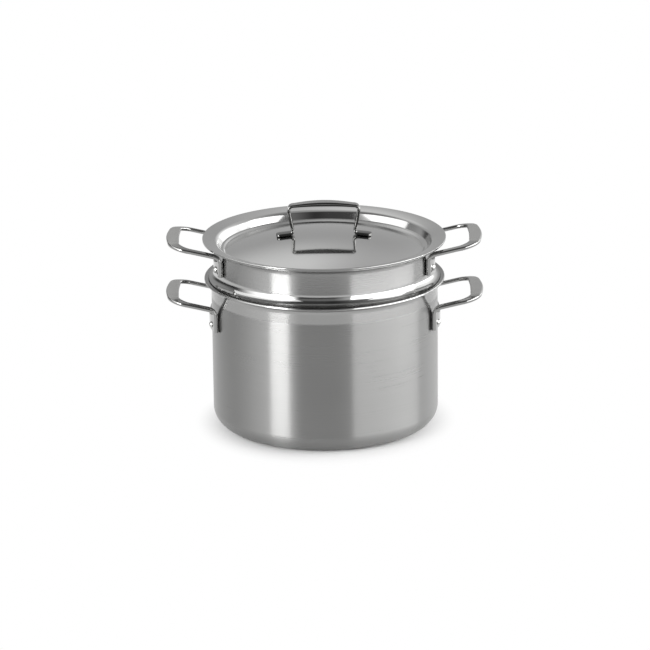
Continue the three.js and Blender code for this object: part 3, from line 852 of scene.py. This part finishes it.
def bridge_route():
    """The strap's middle from a foot's end to the middle of the bar, with its depth and thickness."""
    lift = SEAT_GAP + BRIDGE_STRAP / 2

    def on_dome(x):
        return Vector((x, 0.0, dome_centre + math.sqrt((dome_radius + lift) ** 2 - x * x)))

    bar_height = bridge_top - BRIDGE_BAR_THICKNESS / 2
    foot_knee = on_dome(BRIDGE_HALF - BRIDGE_FOOT_INSET)
    corner = Vector((BRIDGE_HALF, 0.0, bar_height - BRIDGE_ARCH))
    leg = (corner - foot_knee).normalized()
    bend_start = on_dome(foot_knee.x + BRIDGE_FOOT_BEND)
    bend_end = foot_knee + leg * BRIDGE_FOOT_BEND
    corner_start = corner - leg * BRIDGE_CORNER
    bar_start = corner - Vector((BRIDGE_CORNER, 0.0, 0.0))
    bar_crest = Vector((bar_start.x / 2, 0.0, bar_height))
    bar_middle = Vector((0.0, 0.0, bar_height))
    shares = [i / STRAP_STEPS for i in range(STRAP_STEPS + 1)]
    route = []
    for share in shares[::2]:
        turn = math.pi / 2 * share
        foot_end = on_dome(foot_knee.x + BRIDGE_FOOT_LENGTH - BRIDGE_FOOT_ROUND * (1 - math.cos(turn)))
        depth = BRIDGE_FOOT_DEPTH - 2 * BRIDGE_FOOT_ROUND * (1 - math.sin(turn))
        route.append((foot_end, depth, BRIDGE_STRAP))
    for share in shares:
        depth = BRIDGE_FOOT_DEPTH + (BRIDGE_LEG_DEPTH - BRIDGE_FOOT_DEPTH) * share
        route.append((bend_point(bend_start, foot_knee, bend_end, share), depth, BRIDGE_STRAP))
    for share in shares:
        route.append((bend_point(corner_start, corner, bar_start, share), BRIDGE_LEG_DEPTH, BRIDGE_STRAP))
    for share in shares[1:]:
        swell = math.sin(math.pi / 2 * share)
        depth = BRIDGE_LEG_DEPTH + (BRIDGE_BAR_DEPTH - BRIDGE_LEG_DEPTH) * swell
        thickness = BRIDGE_STRAP + (BRIDGE_BAR_THICKNESS - BRIDGE_STRAP) * swell
        route.append((bend_point(bar_start, bar_crest, bar_middle, share), depth, thickness))
    return route


def bridge_stations():
    route = bridge_route()
    half = []
    for i, (at, depth, thickness) in enumerate(route):
        before = route[max(i - 1, 0)][0]
        after = route[i + 1][0] if i + 1 < len(route) else Vector((-before.x, 0.0, before.z))
        along = (after - before).normalized()
        half.append((at, Vector((0.0, 1.0, 0.0)), Vector((along.z, 0.0, -along.x)), depth, thickness))
    return mirrored(half, Matrix.Scale(-1, 3, Vector((1.0, 0.0, 0.0))))


def lid_handle_steel():
    material, shader, place = steel("lid_handle_steel_and_painted_reflection")
    grain = stretched_noise(place, BRIDGE_GRAIN)
    bar_foot = bridge_top - BRIDGE_STRAP - BRIDGE_ARCH
    on_bar = ramp(coordinate(place, "Z"), bar_foot - 0.002, bar_foot + 0.001, 0.0, 1.0)
    satin_and_painted_light = on_bar * ramp(facing_up(place), 0.8, 0.95, 0.0, 1.0)
    polish = BRIDGE_POLISH_ROUGHNESS + satin_and_painted_light * (BRIDGE_SATIN_ROUGHNESS - BRIDGE_POLISH_ROUGHNESS)
    (polish + swing(grain, 0.04)).into(shader, "Roughness")
    # Every face but the bar's top is painted nearly black: a painted dark reflection chosen by which way the
    # surface faces.
    tinted(grain, blended(satin_and_painted_light, BRIDGE_SIDE_PAINTED_REFLECTION, BRIDGE_TOP_STEEL), 0.06, shader)
    scratched(grain, 0.00002, shader, 0.03)
    return material


bridge = lofted("lid_bridge", [strap_loop(*station) for station in bridge_stations()])
fitted("lid_bridge", bridge, lid_handle_steel(), "lid", "lid_handle")


# Studio
# A pale floor keeps the pot's shadow and runs out to white, and the soft room is dark towards the viewer.
# Four soft boxes stand round the pot, two low ones for the bands on the walls and two above for the lid.
FLOOR_HALF = 6.0
FLOOR_TONE = (0.76, 0.76, 0.76)
FLOOR_MOTTLE = (30.0, 30.0, 30.0)
FLOOR_STRETCH = (1.12, 1.0, 1.0)
SHADOW_REACH = 0.112
WHITE_REACH = 0.162
SEEN_RAYS = ("Is Camera Ray", "Is Glossy Ray", "Is Transmission Ray")
LOW_AIM = 0.7
LID_AIM = 0.2
CAMERA_DISTANCE = 4.0
CAMERA_ELEVATION = math.radians(16.8)
CAMERA_ROLL = math.radians(-0.63)
CAMERA_LENS = 204.1
SENSOR_WIDTH = 36.0
SEEN_POINT = Vector((0.0, 0.0, 0.125))
FRAME_DROP = math.atan(15.4 / 3685)


def floor_material():
    material = bpy.data.materials.new("pale_floor")
    material.use_nodes = True
    tree = material.node_tree
    shader = tree.nodes["Principled BSDF"]
    shader.inputs["Roughness"].default_value = 0.9
    shader.inputs["Specular IOR Level"].default_value = 0.0
    place = place_in(tree, "Object")
    tinted(stretched_noise(place, FLOOR_MOTTLE), FLOOR_TONE, 0.006, shader)
    wide = place.node("ShaderNodeVectorMath", {"operation": "MULTIPLY"}, {0: place, 1: FLOOR_STRETCH})
    distance = wide.node("ShaderNodeVectorMath", {"operation": "LENGTH"}, {0: wide}, "Value")
    away = ramp(distance, SHADOW_REACH, WHITE_REACH, 0.0, 1.0)
    camera_ray, glossy_ray, clear_ray = [away.node("ShaderNodeLightPath", output=name) for name in SEEN_RAYS]
    seen = away.maths("MINIMUM", camera_ray + glossy_ray + clear_ray, 1.0)
    white = away.node("ShaderNodeEmission", {}, {"Color": (1.0, 1.0, 1.0, 1.0), "Strength": 1.0})
    shadowed = Shade(tree, shader.outputs[0])
    mixed = away.node("ShaderNodeMixShader", {}, {0: away * seen, 1: shadowed, 2: white})
    mixed.into(tree.nodes["Material Output"], "Surface")
    return material


def studio_world():
    """The room's light by direction: x to the right, y away from the viewer and z up."""
    world = bpy.data.worlds.new("studio")
    bpy.context.scene.world = world
    world.use_nodes = True
    tree = world.node_tree
    x, y, z = [coordinate(place_in(tree, "Generated"), axis) for axis in "XYZ"]
    raised = ramp(z, 0.1, 0.25, 0.0, 1.0)
    low = ramp(z, 0.3, 0.6, 1.0, 0.2)
    dim = ramp(x, -0.6, -0.2, 0.15, 1.0)
    back = ramp(y, -0.1, 0.8, 0.035, 0.47) * (dim + raised - dim * raised)
    crest = ramp(z, 0.3, 0.7, 0.0, 1.0) * ramp(x, -0.1, 0.15, 1.0, 0.3)
    behind = ramp(y, 0.25, 0.4, 0.0, 1.0)
    sunk = 1 - behind + behind * ramp(z, 0.06, 0.2, 1.8, 0.35)
    right = ramp(x, 0.4, 0.72, 0.0, 2.4) * ramp(y, -0.6, 0.1, 0.0, 1.0)
    left = ramp(x, -0.62, -0.42, 4.0, 0.0) * ramp(y, -0.6, 0.3, 1.0, 0.0)
    spill = ramp(x, 0.12, 0.5, 0.0, 0.7)
    above = ramp(z, 0.88, 1.0, 0.0, 0.35)
    front = ramp(y, -0.6, -0.2, 0.24, 0.0) * raised * ramp(z, 0.42, 0.6, 1.0, 0.0)
    light = back * (1 + crest) + front + (right * sunk + left + spill) * low + above
    glow = light.node("ShaderNodeCombineColor", {}, {0: light, 1: light, 2: light})
    glow.into(tree.nodes["Background"], "Color")


def bearing(degrees, distance, height):
    """A place round the pot: 0 is towards the viewer and 90 is to the right."""
    turn = math.radians(degrees)
    return Vector((distance * math.sin(turn), -distance * math.cos(turn), height))


def soft_box(name, place, aim_height, width, height, radiance):
    lamp = bpy.data.lights.new(name, "AREA")
    lamp.shape = "RECTANGLE"
    lamp.size = width
    lamp.size_y = height
    lamp.energy = radiance * math.pi * width * height
    obj = bpy.data.objects.new(name, lamp)
    bpy.context.scene.collection.objects.link(obj)
    obj.location = place
    obj.rotation_euler = (Vector((0.0, 0.0, aim_height)) - place).to_track_quat("-Z", "Y").to_euler()


floor_corners = [(x * FLOOR_HALF, y * FLOOR_HALF, 0.0) for x, y in ((-1, -1), (1, -1), (1, 1), (-1, 1))]
floor = bpy.data.objects.new("floor", smooth_mesh("floor", floor_corners, [[0, 1, 2, 3]]))
bpy.context.scene.collection.objects.link(floor)
floor.data.materials.append(floor_material())
studio_world()
soft_box("left_box", bearing(-45.5, 2.2, 0.7), LOW_AIM, 0.74, 1.4, 10.0)
soft_box("right_box", bearing(66, 2.2, 0.7), LOW_AIM, 3.6, 1.4, 4.6)
soft_box("left_upper_box", bearing(-70, 2.0, 1.5), LID_AIM, 3.6, 1.0, 1.5)
soft_box("right_upper_box", bearing(78, 2.0, 1.75), LID_AIM, 1.8, 0.7, 2.2)

camera = bpy.data.objects.new("camera", bpy.data.cameras.new("camera"))
bpy.context.scene.collection.objects.link(camera)
camera.data.sensor_width = SENSOR_WIDTH
camera.data.lens = CAMERA_LENS
look_back = Vector((0.0, -math.cos(CAMERA_ELEVATION), math.sin(CAMERA_ELEVATION)))
camera.location = SEEN_POINT + look_back * CAMERA_DISTANCE
tilt = CAMERA_ELEVATION + FRAME_DROP
level_view = Vector((0.0, math.cos(tilt), -math.sin(tilt))).to_track_quat("-Z", "Y")
camera.rotation_mode = "QUATERNION"
camera.rotation_quaternion = level_view @ Matrix.Rotation(CAMERA_ROLL, 3, "Z").to_quaternion()
bpy.context.scene.camera = camera
bpy.context.scene.view_settings.view_transform = "Standard"
